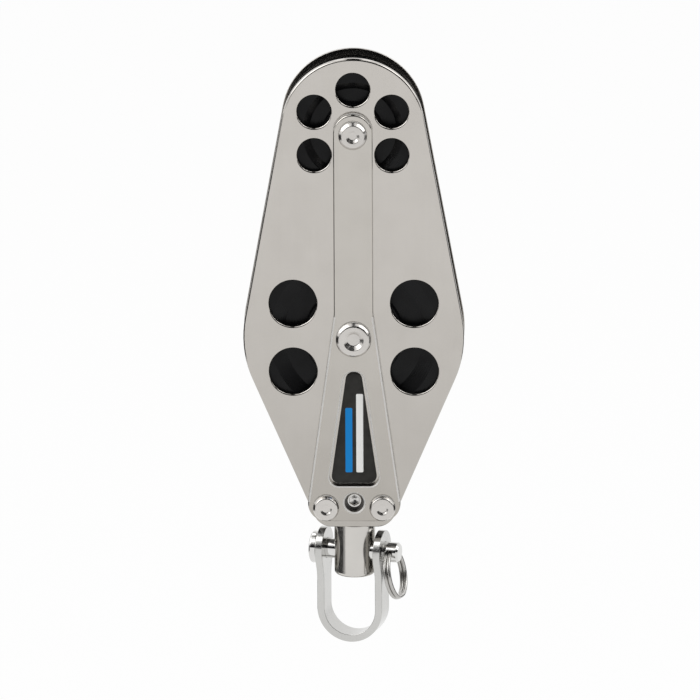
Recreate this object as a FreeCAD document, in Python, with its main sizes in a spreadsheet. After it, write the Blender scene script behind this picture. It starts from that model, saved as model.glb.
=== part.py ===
import FreeCAD, Part
import Sketcher
import math
import os

# Fiddle block: two steel cheeks with a long outer strap on each side carry a
# small sheave above a large one. A head block between the cheeks' feet holds a
# swivel post, and a bent strip shackle hangs from the post on a clevis pin that
# a split ring keeps in. The origin is the centre of the large sheave's axle,
# +Z runs up to the small sheave and -Y is the front. Sizes are millimetres.

SIZES = {
    # Spacing of the block
    "cheek_gap": 14.6,
    "cheek_thick": 2.0,
    "strap_thick": 3.0,
    "axle_spacing": 81.4,
    # Cheek outline: arcs about three centres, joined by tangent lines
    "cheek_waist": 42.7,
    "crown_rise": 2.0,
    "crown_round": 27.7,
    "foot_drop": 68.7,
    "foot_spread": 8.75,
    "foot_round": 7.4,
    "cheek_edge": 0.9,
    "hole_edge": 0.75,
    # Lightening holes round each axle
    "hole_slant": 30.0,
    "large_hole": 9.2,
    "large_hole_ring": 27.1,
    "small_hole": 6.55,
    "small_hole_ring": 17.3,
    # Strap outline and its window
    "strap_half": 7.6,
    "strap_rise": 0.6,
    "strap_kink": 10.5,
    "strap_kink_round": 12.0,
    "strap_above_foot": 2.7,
    "strap_foot_round": 7.0,
    "strap_edge": 0.5,
    "window_top_drop": 15.8,
    "window_top_spread": 1.4,
    "window_top_round": 2.7,
    "window_above_foot": 13.3,
    "window_foot_spread": 6.0,
    "window_foot_round": 3.6,
    "label_margin": 1.0,
    "label_thick": 1.0,
    "label_edge": 0.3,
    # Rivets: shank, head and the dimple that the setting tool leaves
    "rivet_play": 0.05,
    "large_shank": 4.0,
    "large_head": 6.95,
    "large_face": 5.7,
    "large_dimple": 3.95,
    "large_floor": 2.65,
    "large_dimple_depth": 2.4,
    "small_shank": 3.2,
    "small_head": 5.6,
    "small_face": 4.3,
    "small_dimple": 2.7,
    "small_floor": 1.3,
    "small_dimple_depth": 1.8,
    "foot_shank": 3.0,
    "rivets_above_foot": 1.2,
    "foot_rivet_spread": 10.9,
    "foot_head": 5.1,
    "foot_face": 4.5,
    "foot_dimple": 2.25,
    "foot_floor": 1.5,
    "foot_dimple_depth": 1.4,
    "rim_height": 1.3,
    "head_height": 2.6,
    "head_edge": 0.8,
    # Sheaves, their bushes, sleeves and thrust washers
    "bearing_play": 0.05,
    "side_play": 0.1,
    "thrust_thick": 0.5,
    "rim_relief": 0.1,
    "rope_groove": 5.2,
    "large_sheave": 41.0,
    "large_rim_inside": 32.5,
    "large_web_outside": 27.0,
    "large_hub": 18.6,
    "large_web": 9.0,
    "large_sleeve": 6.0,
    "large_bush": 8.2,
    "large_thrust": 12.0,
    "small_sheave": 26.9,
    "small_rim_inside": 19.7,
    "small_web_outside": 16.8,
    "small_hub": 11.0,
    "small_web": 9.4,
    "small_sleeve": 4.8,
    "small_bush": 6.6,
    "small_thrust": 9.4,
    "hub_bevel": 0.7,
    "sheave_edge": 0.5,
    # Head block and set screw
    "block_inset": 0.8,
    "block_above_foot": 10.2,
    "block_top_spread": 14.6,
    "block_top_round": 1.5,
    "screw_above_foot": 3.1,
    "screw_round": 2.95,
    "screw_play": 0.05,
    "screw_access": 3.75,
    "screw_chamfer": 0.6,
    "screw_face": 8.6,
    "screw_tip_gap": 0.35,
    "socket_flat": 3.2,
    "socket_depth": 1.9,
    "screw_bevel": 0.4,
    # Swivel post, washers, collar and its pin
    "swivel_turn": 15.5,
    "swivel_play": 0.05,
    "post_round": 7.94,
    "post_below_pin": 9.5,
    "post_edge": 1.5,
    "neck_round": 4.75,
    "neck_waist": 4.3,
    "neck_waist_half": 3.4,
    "neck_tail": 0.8,
    "neck_bevel": 0.6,
    "swivel_washer": 7.0,
    "lower_washer_thick": 1.1,
    "upper_washer_thick": 0.8,
    "collar_round": 6.8,
    "collar_height": 5.0,
    "collar_edge": 0.5,
    "collar_pin": 1.0,
    "collar_pin_play": 0.02,
    # Shackle, clevis pin and split ring, which hang a little to one side
    "hang_aside": 0.8,
    "pin_below_shoulder": 11.15,
    "pin_round": 3.95,
    "pin_play": 0.05,
    "shackle_inside": 20.5,
    "shackle_thick": 2.8,
    "shackle_wide": 10.2,
    "shackle_depth": 33.1,
    "shackle_edge": 0.5,
    "ear_round": 8.35,
    "ear_taper": 13.0,
    "pin_head": 6.2,
    "pin_head_thick": 3.0,
    "pin_head_gap": 0.25,
    "pin_head_edge": 0.7,
    "pin_end": 18.9,
    "pin_bevel": 0.7,
    "ring_station": 15.2,
    "ring_hole": 1.8,
    "ring_round": 9.2,
    "ring_wire": 0.75,
    "ring_gap": 0.03,
    "ring_turn": 1.0,
    "ring_lean": 12.0,
}

RING_CROSSING = 20.0    # half of the arc, in degrees, where the ring's wire steps across
RING_STEP = 5.0         # spacing of the wire's path points, in degrees
HEXAGON_TURN = 60       # degrees from one corner of a hexagon to the next
PART_NAMES = []


class Size:
    """A length or angle that knows both its number and its formula in the sheet."""

    def __init__(self, value, text):
        self.value = value
        self.text = text

    def join(self, other, sign, value):
        return Size(value, "(%s %s %s)" % (self.text, sign, other.text))

    def __add__(self, other):
        other = as_size(other)
        return self.join(other, "+", self.value + other.value)

    def __sub__(self, other):
        other = as_size(other)
        return self.join(other, "-", self.value - other.value)

    def __mul__(self, other):
        other = as_size(other)
        return self.join(other, "*", self.value * other.value)

    def __truediv__(self, other):
        other = as_size(other)
        return self.join(other, "/", self.value / other.value)

    def __neg__(self):
        return Size(-self.value, "(0 - %s)" % self.text)

    def cosine(self):
        return Size(math.cos(math.radians(self.value)), "cos(%s)" % self.text)

    def sine(self):
        return Size(math.sin(math.radians(self.value)), "sin(%s)" % self.text)


def as_size(number):
    return number if isinstance(number, Size) else Size(number, "%g" % number)


ZERO = as_size(0)
document = FreeCAD.newDocument("fiddle_block")
sheet = document.addObject("Spreadsheet::Sheet", "sizes")
for row, (name, number) in enumerate(SIZES.items(), 1):
    sheet.set("A%d" % row, name)
    sheet.set("B%d" % row, "%g" % number)
    sheet.setAlias("B%d" % row, name)
document.recompute()


def size(name):
    return Size(float(sheet.get(name)), "sizes.%s" % name)


# Places and thicknesses that several pieces share
half_gap = size("cheek_gap") / 2
strap_face = half_gap + size("cheek_thick") + size("strap_thick")
thrust_face = half_gap - size("thrust_thick")
hub_face = thrust_face - size("side_play")
rim_face = hub_face - size("rim_relief")
crown_height = size("axle_spacing") + size("crown_rise")
foot_height = -size("foot_drop")
strap_foot = foot_height + size("strap_above_foot")
window_foot = foot_height + size("window_above_foot")
rivets_height = foot_height + size("rivets_above_foot")
screw_height = foot_height + size("screw_above_foot")
block_top = foot_height + size("block_above_foot")
block_bottom = foot_height - size("foot_round") + size("block_inset")
shoulder = block_bottom - size("lower_washer_thick") - size("swivel_play")
collar_bottom = block_top + size("upper_washer_thick") + size("swivel_play")
collar_top = collar_bottom + size("collar_height")
neck_bore = size("neck_round") + size("swivel_play")
ear_face = size("shackle_inside") / 2 + size("shackle_thick")
pin_height = shoulder - size("pin_below_shoulder")


def bind(item, path, value):
    item.setExpression(path, value.text)


def new_body(name):
    body = document.addObject("PartDesign::Body", name)
    body.Label = name
    PART_NAMES.append(name)
    return body


def origin_plane(body, role):
    return [feature for feature in body.Origin.OriginFeatures if feature.Role == role][0]


def new_sketch(body, plane, name, lift=ZERO, shift_up=ZERO):
    sketch = body.newObject("Sketcher::SketchObject", "%s_%s" % (body.Label, name))
    sketch.AttachmentSupport = [(origin_plane(body, plane), "")]
    sketch.MapMode = "FlatFace"
    if lift is not ZERO:
        bind(sketch, "AttachmentOffset.Base.z", lift)
    if shift_up is not ZERO:
        bind(sketch, "AttachmentOffset.Base.y", shift_up)
    return sketch


def hold(sketch, kind, *items):
    """Adds a constraint whose last item is a size, and binds it to the sheet."""
    *places, value = items
    number = sketch.addConstraint(Sketcher.Constraint(kind, *places, value.value))
    bind(sketch, "Constraints[%d]" % number, value)


def hold_point(sketch, geometry, end, across, up):
    for kind, axis, value in (("DistanceX", -2, across), ("DistanceY", -1, up)):
        if value is ZERO:
            sketch.addConstraint(Sketcher.Constraint("PointOnObject", geometry, end, axis))
        else:
            hold(sketch, kind, geometry, end, value)


def point(across, up):
    return FreeCAD.Vector(across.value, up.value, 0)


def add_circle(sketch, across, up, radius):
    circle = Part.Circle(point(across, up), FreeCAD.Vector(0, 0, 1), radius.value)
    number = sketch.addGeometry(circle)
    hold_point(sketch, number, 3, across, up)
    hold(sketch, "Radius", number, radius)


def add_polygon(sketch, corners):
    """Draws a closed run of straight lines through bound corners."""
    lines = []
    for start, end in zip(corners, corners[1:] + corners[:1]):
        lines.append(sketch.addGeometry(Part.LineSegment(point(*start), point(*end))))
    for line, following, start in zip(lines, lines[1:] + lines[:1], corners):
        sketch.addConstraint(Sketcher.Constraint("Coincident", line, 2, following, 1))
        hold_point(sketch, line, 1, *start)


def add_box(sketch, left, right, low, high):
    add_polygon(sketch, [(left, low), (right, low), (right, high), (left, high)])


def add_loop(sketch, discs):
    """Draws an anticlockwise outline round discs, joined by tangent lines.

    Each disc is (across, up, radius), and one of zero radius is a plain corner.
    """
    headings = []
    for here, there in zip(discs, discs[1:] + discs[:1]):
        reach = point(there[0], there[1]) - point(here[0], here[1])
        lean = math.asin((here[2].value - there[2].value) / reach.Length)
        headings.append(math.atan2(reach.y, reach.x) + lean)

    def touch(disc, heading):
        outward = FreeCAD.Vector(math.sin(heading), -math.cos(heading), 0)
        return point(disc[0], disc[1]) + outward * disc[2].value

    lines = []
    for number, heading in enumerate(headings):
        here, there = discs[number], discs[(number + 1) % len(discs)]
        segment = Part.LineSegment(touch(here, heading), touch(there, heading))
        lines.append(sketch.addGeometry(segment))
    for number, disc in enumerate(discs):
        arriving, leaving = lines[number - 1], lines[number]
        if disc[2] is ZERO:
            sketch.addConstraint(Sketcher.Constraint("Coincident", arriving, 2, leaving, 1))
            hold_point(sketch, leaving, 1, disc[0], disc[1])
            continue
        circle = Part.Circle(point(disc[0], disc[1]), FreeCAD.Vector(0, 0, 1), disc[2].value)
        turns = [headings[number - 1] - math.pi / 2, headings[number] - math.pi / 2]
        arc = sketch.addGeometry(Part.ArcOfCircle(circle, *turns))
        hold_point(sketch, arc, 3, disc[0], disc[1])
        hold(sketch, "Radius", arc, disc[2])
        sketch.addConstraint(Sketcher.Constraint("Tangent", arriving, 2, arc, 1))
        sketch.addConstraint(Sketcher.Constraint("Tangent", arc, 2, leaving, 1))


def pad(sketch, length, both_ways=False):
    feature = sketch.getParentGeoFeatureGroup().newObject("PartDesign::Pad", sketch.Name + "_pad")
    feature.Profile = sketch
    bind(feature, "Length", length)
    feature.Midplane = both_ways
    return feature


def pocket(sketch, forward=False, both_ways=False):
    """Cuts a sketch right through: against its normal, along it, or both ways."""
    feature = sketch.getParentGeoFeatureGroup().newObject("PartDesign::Pocket", sketch.Name + "_cut")
    feature.Profile = sketch
    feature.Type = "ThroughAll"
    feature.Reversed = forward
    feature.Midplane = both_ways
    return feature


def revolve(sketch, axis, kind="PartDesign::Revolution"):
    feature = sketch.getParentGeoFeatureGroup().newObject(kind, sketch.Name + "_turn")
    feature.Profile = sketch
    feature.ReferenceAxis = (sketch, [axis])
    feature.Angle = 360.0
    return feature


def round_edges(body, radius, wanted, kind="PartDesign::Fillet", name="rounding"):
    """Rounds or bevels each edge of the body so far that the test picks out."""
    document.recompute()
    base = body.Tip
    names = ["Edge%d" % number for number, edge in enumerate(base.Shape.Edges, 1) if wanted(edge)]
    feature = body.newObject(kind, "%s_%s" % (body.Label, name))
    feature.Base = (base, names)
    bind(feature, "Radius" if kind == "PartDesign::Fillet" else "Size", radius)
    return feature


def lies_at(edge, axis, place):
    """Says whether a whole edge lies in the plane at one value of x, y or z."""
    box = edge.BoundBox
    low, high = {"x": (box.XMin, box.XMax), "y": (box.YMin, box.YMax), "z": (box.ZMin, box.ZMax)}[axis]
    return abs(low - place) < 0.001 and abs(high - place) < 0.001


def is_ring(edge, radius, axis, place):
    """Says whether an edge is a full circle of a radius, in the plane named."""
    round_edge = edge.Curve.TypeId == "Part::GeomCircle"
    return round_edge and abs(edge.Curve.Radius - radius.value) < 0.001 and lies_at(edge, axis, place)


def place(body, back=ZERO, up=ZERO, facing_back=False):
    """Sets a body along Y and Z, turned half round where it faces the back."""
    if facing_back:
        body.Placement = FreeCAD.Placement(FreeCAD.Vector(), FreeCAD.Rotation(180, 0, 0))
    if back is not ZERO:
        bind(body, "Placement.Base.y", back)
    if up is not ZERO:
        bind(body, "Placement.Base.z", up)


def turn_with_swivel(body):
    bind(body, "Placement.Rotation.Angle", -size("swivel_turn"))


def hang_from_swivel(body):
    """Turns a piece with the swivel and sets it aside along the clevis pin."""
    turn_with_swivel(body)
    bind(body, "Placement.Base.x", ZERO - size("hang_aside") * size("swivel_turn").cosine())
    bind(body, "Placement.Base.y", size("hang_aside") * size("swivel_turn").sine())


def turned_piece(name, profile, plane="XY_Plane", axis="V_Axis"):
    """Makes a body by spinning a closed profile about a sketch axis."""
    body = new_body(name)
    sketch = new_sketch(body, plane, "profile")
    add_polygon(sketch, profile)
    revolve(sketch, axis)
    return body


# Cheeks: plates with lightening holes, seen through to the sheaves
def cheek(name, facing_back):
    body = new_body(name)
    outline = new_sketch(body, "XZ_Plane", "outline")
    foot = (size("foot_spread"), foot_height, size("foot_round"))
    waist = (ZERO, ZERO, size("cheek_waist"))
    add_loop(outline, [
        (ZERO, crown_height, size("crown_round")),
        waist,
        (-foot[0], foot[1], foot[2]),
        foot,
        waist,
    ])
    pad(outline, size("cheek_thick"))
    fixings = new_sketch(body, "XZ_Plane", "fixings")
    add_circle(fixings, ZERO, ZERO, size("large_shank") + size("rivet_play"))
    add_circle(fixings, ZERO, size("axle_spacing"), size("small_shank") + size("rivet_play"))
    add_foot_rivet_holes(fixings)
    pocket(fixings, both_ways=True)

    large = new_sketch(body, "XZ_Plane", "large_holes")
    across = size("large_hole_ring") * size("hole_slant").cosine()
    aside = size("large_hole_ring") * size("hole_slant").sine()
    add_circle(large, across, aside, size("large_hole"))
    add_circle(large, across, -aside, size("large_hole"))
    cut = pocket(large, both_ways=True)
    mirrored = body.newObject("PartDesign::Mirrored", name + "_large_mirror")
    mirrored.Originals = [cut]
    mirrored.MirrorPlane = (large, ["V_Axis"])
    body.Tip = mirrored

    small = new_sketch(body, "XZ_Plane", "small_holes", shift_up=size("axle_spacing"))
    across = size("small_hole_ring") * size("hole_slant").cosine()
    aside = size("small_hole_ring") * size("hole_slant").sine()
    add_circle(small, across, -aside, size("small_hole"))
    cut = pocket(small, both_ways=True)
    fan = body.newObject("PartDesign::PolarPattern", name + "_small_fan")
    fan.Originals = [cut]
    fan.Axis = (small, ["N_Axis"])
    bind(fan, "Angle", size("hole_slant") * 2 + 180)
    fan.Occurrences = 5
    body.Tip = fan
    if not facing_back:
        access = new_sketch(body, "XZ_Plane", "screw_access")
        add_circle(access, ZERO, screw_height, size("screw_access"))
        pocket(access, both_ways=True)

    outer = -size("cheek_thick").value
    round_edges(body, size("cheek_edge"), lambda edge: lies_at(edge, "y", outer)
                and not edge.Closed, name="outline_edge")
    lightening = (size("large_hole"), size("small_hole"))
    round_edges(body, size("hole_edge"), lambda edge: any(
        is_ring(edge, hole, "y", outer) for hole in lightening), name="hole_edge")
    place(body, half_gap if facing_back else -half_gap, facing_back=facing_back)


def add_foot_rivet_holes(sketch):
    for side in (size("foot_rivet_spread"), -size("foot_rivet_spread")):
        add_circle(sketch, side, rivets_height, size("foot_shank") + size("rivet_play"))


def window_discs(margin):
    """Gives the window's four corner discs, drawn in by a margin."""
    top_round = size("window_top_round") - margin
    foot_round = size("window_foot_round") - margin
    top = -size("window_top_drop")
    return [
        (-size("window_top_spread"), top, top_round),
        (-size("window_foot_spread"), window_foot, foot_round),
        (size("window_foot_spread"), window_foot, foot_round),
        (size("window_top_spread"), top, top_round),
    ]


# Straps: the long stiffeners riveted outside the cheeks
def strap(name, facing_back):
    body = new_body(name)
    outline = new_sketch(body, "XZ_Plane", "outline")
    foot = (size("foot_rivet_spread"), strap_foot, size("strap_foot_round"))
    add_loop(outline, [
        (ZERO, size("axle_spacing") + size("strap_rise"), size("strap_half")),
        (-size("strap_half"), size("strap_kink"), ZERO),
        (-foot[0], foot[1], foot[2]),
        foot,
        (size("strap_half"), size("strap_kink"), ZERO),
    ])
    pad(outline, size("strap_thick"))
    fixings = new_sketch(body, "XZ_Plane", "fixings")
    add_circle(fixings, ZERO, ZERO, size("large_shank") + size("rivet_play"))
    add_circle(fixings, ZERO, size("axle_spacing"), size("small_shank") + size("rivet_play"))
    add_foot_rivet_holes(fixings)
    add_loop(fixings, window_discs(ZERO))
    if not facing_back:
        add_circle(fixings, ZERO, screw_height, size("screw_access"))
    pocket(fixings, both_ways=True)

    outer = -size("strap_thick").value
    round_edges(body, size("strap_kink_round"), is_strap_kink, name="kink")
    if not facing_back:
        round_edges(body, size("screw_chamfer"), lambda edge: is_ring(
            edge, size("screw_access"), "y", outer), "PartDesign::Chamfer", "access_bevel")
    round_edges(body, size("strap_edge"), lambda edge: lies_at(edge, "y", outer)
                and not edge.Closed, name="outline_edge")
    strap_seat = half_gap + size("cheek_thick")
    place(body, strap_seat if facing_back else -strap_seat, facing_back=facing_back)


def is_strap_kink(edge):
    """Picks the two upright edges where the strap begins to widen."""
    at_side = abs(edge.BoundBox.Center.x)
    return lies_at(edge, "z", size("strap_kink").value) and abs(at_side - size("strap_half").value) < 0.001


def label_plate():
    body = new_body("label_front")
    outline = new_sketch(body, "XZ_Plane", "outline")
    add_loop(outline, window_discs(size("label_margin")))
    pad(outline, size("label_thick"))
    outer = -size("label_thick").value
    round_edges(body, size("label_edge"), lambda edge: lies_at(edge, "y", outer))
    place(body, -(half_gap + size("cheek_thick")))


# Rivets: one shank with a formed head and a setting dimple at both ends
def rivet(name, prefix, across=ZERO, up=ZERO):
    shank, head, face = size(prefix + "_shank"), size(prefix + "_head"), size(prefix + "_face")
    dimple, floor = size(prefix + "_dimple"), size(prefix + "_floor")
    rim = strap_face + size("rim_height")
    end = strap_face + size("head_height")
    bottom = end - size(prefix + "_dimple_depth")
    half = [(floor, bottom), (dimple, end), (face, end), (head, rim), (head, strap_face), (shank, strap_face)]
    other_half = [(radius, -along) for radius, along in reversed(half)]
    body = turned_piece(name, [(ZERO, bottom)] + half + other_half + [(ZERO, -bottom)])
    round_edges(body, size("head_edge"), lambda edge: any(
        is_ring(edge, head, "y", side * rim.value) for side in (1, -1)))
    place(body, up=up)
    if across is not ZERO:
        bind(body, "Placement.Base.x", across)


def tube(name, inside, outside, low, high, plane="XY_Plane"):
    return turned_piece(name, [(inside, low), (outside, low), (outside, high), (inside, high)], plane)


# Sheaves: a deep rope groove, a thick rim, a thinner web and a raised hub
def sheave_set(prefix, up):
    sleeve_inside = size(prefix + "_shank") + size("rivet_play")
    sleeve = size(prefix + "_sleeve")
    bush_inside = sleeve + size("bearing_play")
    bush = size(prefix + "_bush")
    place(tube(prefix + "_axle_sleeve", sleeve_inside, sleeve, -half_gap, half_gap), up=up)
    thrust = size(prefix + "_thrust")
    for side, low, high in (("front", -half_gap, -thrust_face), ("back", thrust_face, half_gap)):
        place(tube("%s_thrust_washer_%s" % (prefix, side), bush_inside, thrust, low, high), up=up)
    place(tube(prefix + "_sheave_bush", bush_inside, bush, -hub_face, hub_face), up=up)

    web = size(prefix + "_web") / 2
    outside = size(prefix + "_sheave")
    rim_inside = size(prefix + "_rim_inside")
    hub = size(prefix + "_hub")
    half = [
        (bush, hub_face),
        (hub, hub_face),
        (hub + size("hub_bevel"), web),
        (size(prefix + "_web_outside"), web),
        (rim_inside, rim_face),
        (outside, rim_face),
    ]
    other_half = [(radius, -along) for radius, along in reversed(half)]
    body = turned_piece(prefix + "_sheave", half + other_half)
    groove = new_sketch(body, "XY_Plane", "groove")
    add_circle(groove, outside, ZERO, size("rope_groove"))
    revolve(groove, "V_Axis", "PartDesign::Groove")
    faces = (rim_face.value, -rim_face.value)
    round_edges(body, size("sheave_edge"), lambda edge: any(
        is_ring(edge, ring, "y", face) for ring in (outside, rim_inside) for face in faces))
    place(body, up=up)


# Head block: fills the space between the cheeks' feet and carries the swivel
def head_block():
    body = new_body("head_block")
    outline = new_sketch(body, "XZ_Plane", "outline")
    foot = (size("foot_spread"), foot_height, size("foot_round") - size("block_inset"))
    top = (size("block_top_spread"), block_top - size("block_top_round"),
           size("block_top_round"))
    add_loop(outline, [(-top[0], top[1], top[2]), (-foot[0], foot[1], foot[2]), foot, top])
    pad(outline, size("cheek_gap"), both_ways=True)
    fixings = new_sketch(body, "XZ_Plane", "fixings")
    add_foot_rivet_holes(fixings)
    pocket(fixings, both_ways=True)
    bore = new_sketch(body, "XY_Plane", "neck_bore")
    add_circle(bore, ZERO, ZERO, neck_bore)
    pocket(bore)
    thread = new_sketch(body, "XZ_Plane", "screw_hole")
    add_circle(thread, ZERO, screw_height, size("screw_round") + size("screw_play"))
    pocket(thread, forward=True)


def set_screw():
    body = new_body("set_screw")
    tip = neck_bore + size("screw_tip_gap")
    disc = new_sketch(body, "XZ_Plane", "body", lift=tip)
    add_circle(disc, ZERO, ZERO, size("screw_round"))
    length = size("screw_face") - tip
    pad(disc, length)
    face = -size("screw_face").value
    ends = (face, -tip.value)
    round_edges(body, size("screw_bevel"), lambda edge: any(
        lies_at(edge, "y", end) for end in ends), "PartDesign::Chamfer", "bevel")
    socket = new_sketch(body, "XZ_Plane", "socket", lift=size("screw_face"))
    corner = size("socket_flat") / 2 / as_size(HEXAGON_TURN / 2).cosine()
    corners = []
    for turn in (as_size(angle) for angle in range(0, 360, HEXAGON_TURN)):
        corners.append((corner * turn.cosine(), corner * turn.sine()))
    add_polygon(socket, corners)
    feature = pocket(socket)
    feature.Type = "Length"
    bind(feature, "Length", size("socket_depth"))
    place(body, up=screw_height)


# Swivel post: a stout lower body bored for the pin, and a neck through the block
def swivel_post():
    bottom = pin_height - size("post_below_pin")
    neck, waist = size("neck_round"), size("neck_waist")
    neck_top = collar_top + size("neck_tail")
    waist_low = screw_height - size("neck_waist_half")
    waist_high = screw_height + size("neck_waist_half")
    body = turned_piece("swivel_post", [
        (ZERO, bottom),
        (size("post_round"), bottom),
        (size("post_round"), shoulder),
        (neck, shoulder),
        (neck, waist_low),
        (waist, waist_low),
        (waist, waist_high),
        (neck, waist_high),
        (neck, neck_top),
        (ZERO, neck_top),
    ], "XZ_Plane")
    round_edges(body, size("post_edge"), lambda edge: is_ring(
        edge, size("post_round"), "z", bottom.value), name="bottom_edge")
    round_edges(body, size("neck_bevel"), lambda edge: is_ring(
        edge, neck, "z", neck_top.value), "PartDesign::Chamfer", "neck_bevel")
    bore = new_sketch(body, "YZ_Plane", "pin_bore")
    add_circle(bore, ZERO, pin_height, size("pin_round") + size("pin_play"))
    pocket(bore, both_ways=True)
    cross_hole(body)
    turn_with_swivel(body)


def cross_hole(body):
    hole = new_sketch(body, "YZ_Plane", "cross_hole")
    add_circle(hole, ZERO, collar_bottom + size("collar_height") / 2,
               size("collar_pin") + size("collar_pin_play"))
    pocket(hole, both_ways=True)


def swivel_keepers():
    """Makes the washers, collar and pin that keep the post in the head block."""
    washer = size("swivel_washer")
    lower_face = shoulder + size("swivel_play")
    tube("lower_swivel_washer", neck_bore, washer, lower_face, block_bottom, "XZ_Plane")
    upper_face = block_top + size("upper_washer_thick")
    tube("upper_swivel_washer", neck_bore, washer, block_top, upper_face, "XZ_Plane")

    collar = tube("swivel_collar", size("neck_round"), size("collar_round"),
                  collar_bottom, collar_top, "XZ_Plane")
    ends = (collar_bottom.value, collar_top.value)
    round_edges(collar, size("collar_edge"), lambda edge: any(
        is_ring(edge, size("collar_round"), "z", end) for end in ends), "PartDesign::Chamfer")
    cross_hole(collar)
    turn_with_swivel(collar)

    pin = new_body("collar_pin")
    disc = new_sketch(pin, "YZ_Plane", "body")
    add_circle(disc, ZERO, collar_bottom + size("collar_height") / 2, size("collar_pin"))
    pad(disc, (size("collar_round") - size("collar_edge")) * 2, both_ways=True)
    turn_with_swivel(pin)


# Shackle: a strip bent to a U, with round ears at the pin
def shackle():
    body = new_body("shackle")
    strip = new_sketch(body, "XZ_Plane", "strip")
    inside = size("shackle_inside") / 2
    bend = pin_height - size("shackle_depth") + inside
    tip = pin_height + size("ear_round")
    add_loop(strip, [(ear_face, tip, ZERO), (-ear_face, tip, ZERO), (ZERO, bend, ear_face)])
    pad(strip, size("ear_round") * 2, both_ways=True)
    hollow = new_sketch(body, "XZ_Plane", "hollow")
    above = tip + size("ear_round")
    add_loop(hollow, [(inside, above, ZERO), (-inside, above, ZERO), (ZERO, bend, inside)])
    pocket(hollow, both_ways=True)

    side = new_sketch(body, "YZ_Plane", "side")
    half = size("shackle_wide") / 2
    waist = pin_height - size("ear_taper")
    below = bend - ear_face - size("ear_round")
    reach = size("ear_round") * 2
    add_loop(side, [(ZERO, pin_height, size("ear_round")), (-half, waist, ZERO), (-half, below, ZERO),
                    (half, below, ZERO), (half, waist, ZERO)])
    add_box(side, -reach, reach, below - size("ear_round"), above)
    pocket(side, both_ways=True)
    bore = new_sketch(body, "YZ_Plane", "pin_bore")
    add_circle(bore, ZERO, pin_height, size("pin_round") + size("pin_play"))
    pocket(bore, both_ways=True)
    round_edges(body, size("shackle_edge"), lambda edge: not edge.Closed and edge_runs_along_strip(edge))
    hang_from_swivel(body)


def edge_runs_along_strip(edge):
    """Picks the strip's long edges, which lie on its inner or outer skin."""
    box = edge.BoundBox
    across_strip = box.YLength > 2 * size("shackle_wide").value
    return not across_strip and abs(abs(box.YMax) + abs(box.YMin)) > size("shackle_wide").value * 0.9


def clevis_pin():
    head_inside = -(ear_face + size("pin_head_gap"))
    head_outside = head_inside - size("pin_head_thick")
    end = size("pin_end")
    body = new_body("clevis_pin")
    profile = new_sketch(body, "XZ_Plane", "profile", shift_up=pin_height)
    add_polygon(profile, [
        (head_outside, ZERO),
        (end, ZERO),
        (end, size("pin_round")),
        (head_inside, size("pin_round")),
        (head_inside, size("pin_head")),
        (head_outside, size("pin_head")),
    ])
    revolve(profile, "H_Axis")
    round_edges(body, size("pin_bevel"), lambda edge: is_ring(
        edge, size("pin_round"), "x", end.value), "PartDesign::Chamfer", "end_bevel")
    rims = (head_inside.value, head_outside.value)
    round_edges(body, size("pin_head_edge"), lambda edge: any(
        is_ring(edge, size("pin_head"), "x", rim) for rim in rims), name="head_edge")
    hole = new_sketch(body, "XZ_Plane", "ring_hole")
    add_circle(hole, size("ring_station"), pin_height, size("ring_hole"))
    pocket(hole, both_ways=True)
    hang_from_swivel(body)


# Split ring: two flat turns of wire, joined by one short step between them
def split_ring():
    radius, wire = size("ring_round").value, size("ring_wire").value
    lane = wire + size("ring_gap").value / 2
    pin = size("pin_round").value
    sag = radius - math.sqrt(radius ** 2 - pin ** 2)
    start, stop = RING_CROSSING, 720 - RING_CROSSING
    points = []
    for number in range(int(round((stop - start) / RING_STEP)) + 1):
        angle = start + number * RING_STEP
        step = max(-1.0, min(1.0, (angle - 360) / RING_CROSSING))
        across = lane * math.sin(step * math.pi / 2)
        turn = math.radians(angle)
        points.append(FreeCAD.Vector(across, radius * math.sin(turn), -radius * math.cos(turn)))
    curve = Part.BSplineCurve()
    curve.interpolate(points)
    path = Part.Wire([curve.toShape()])
    first, heading = curve.value(curve.FirstParameter), curve.tangent(curve.FirstParameter)[0]
    section = Part.Wire([Part.makeCircle(wire, first, heading)])
    ring = document.addObject("Part::Feature", "split_ring")
    ring.Shape = path.makePipeShell([section], True, True)
    ring.Label = "split_ring"
    PART_NAMES.append("split_ring")
    below_hole = FreeCAD.Placement(FreeCAD.Vector(0, 0, sag / 2 - radius), FreeCAD.Rotation())
    leaning = FreeCAD.Placement(FreeCAD.Vector(), FreeCAD.Rotation(
        -size("ring_turn").value, -size("ring_lean").value, 0))
    aside = (size("ring_station") - size("hang_aside")).value
    at_hole = FreeCAD.Placement(FreeCAD.Vector(aside, 0, pin_height.value), FreeCAD.Rotation())
    swivel = FreeCAD.Placement(FreeCAD.Vector(), FreeCAD.Rotation(-size("swivel_turn").value, 0, 0))
    ring.Placement = swivel * at_hole * leaning * below_hole


def build():
    cheek("cheek_front", False)
    cheek("cheek_back", True)
    strap("strap_front", False)
    strap("strap_back", True)
    label_plate()
    rivet("large_axle", "large")
    rivet("small_axle", "small", up=size("axle_spacing"))
    rivet("head_rivet_left", "foot", -size("foot_rivet_spread"), rivets_height)
    rivet("head_rivet_right", "foot", size("foot_rivet_spread"), rivets_height)
    sheave_set("large", ZERO)
    sheave_set("small", size("axle_spacing"))
    head_block()
    set_screw()
    swivel_post()
    swivel_keepers()
    shackle()
    clevis_pin()
    split_ring()
    document.recompute()


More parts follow.
